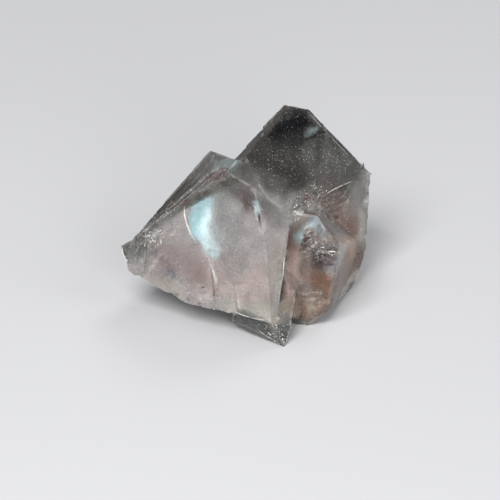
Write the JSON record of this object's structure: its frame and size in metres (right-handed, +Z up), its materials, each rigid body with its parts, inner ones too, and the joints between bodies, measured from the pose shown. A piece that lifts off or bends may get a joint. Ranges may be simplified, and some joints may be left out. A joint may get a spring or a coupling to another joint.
{
  "type": "massive fluorite specimen",
  "caption": "Broken cleavage fragments of clear, pinkish and smoky fluorite grown together as a natural lump, lying on a flat cleavage base.",
  "frame": {"origin": "bottom centre of the bounding box", "axes": "+Z up as the specimen lies on its flat base, the broad front face looks along -Y and a little to -X, and the pointed tip of the front fragment points along -X"},
  "size_m": [0.0404, 0.0362, 0.0285],
  "materials": {
    "fluorite": "clear to milky crystal with glossy cleavage faces"
  },
  "bodies": {
    "root": {"fluorite": "fluorite"}
  },
  "joints": []
}
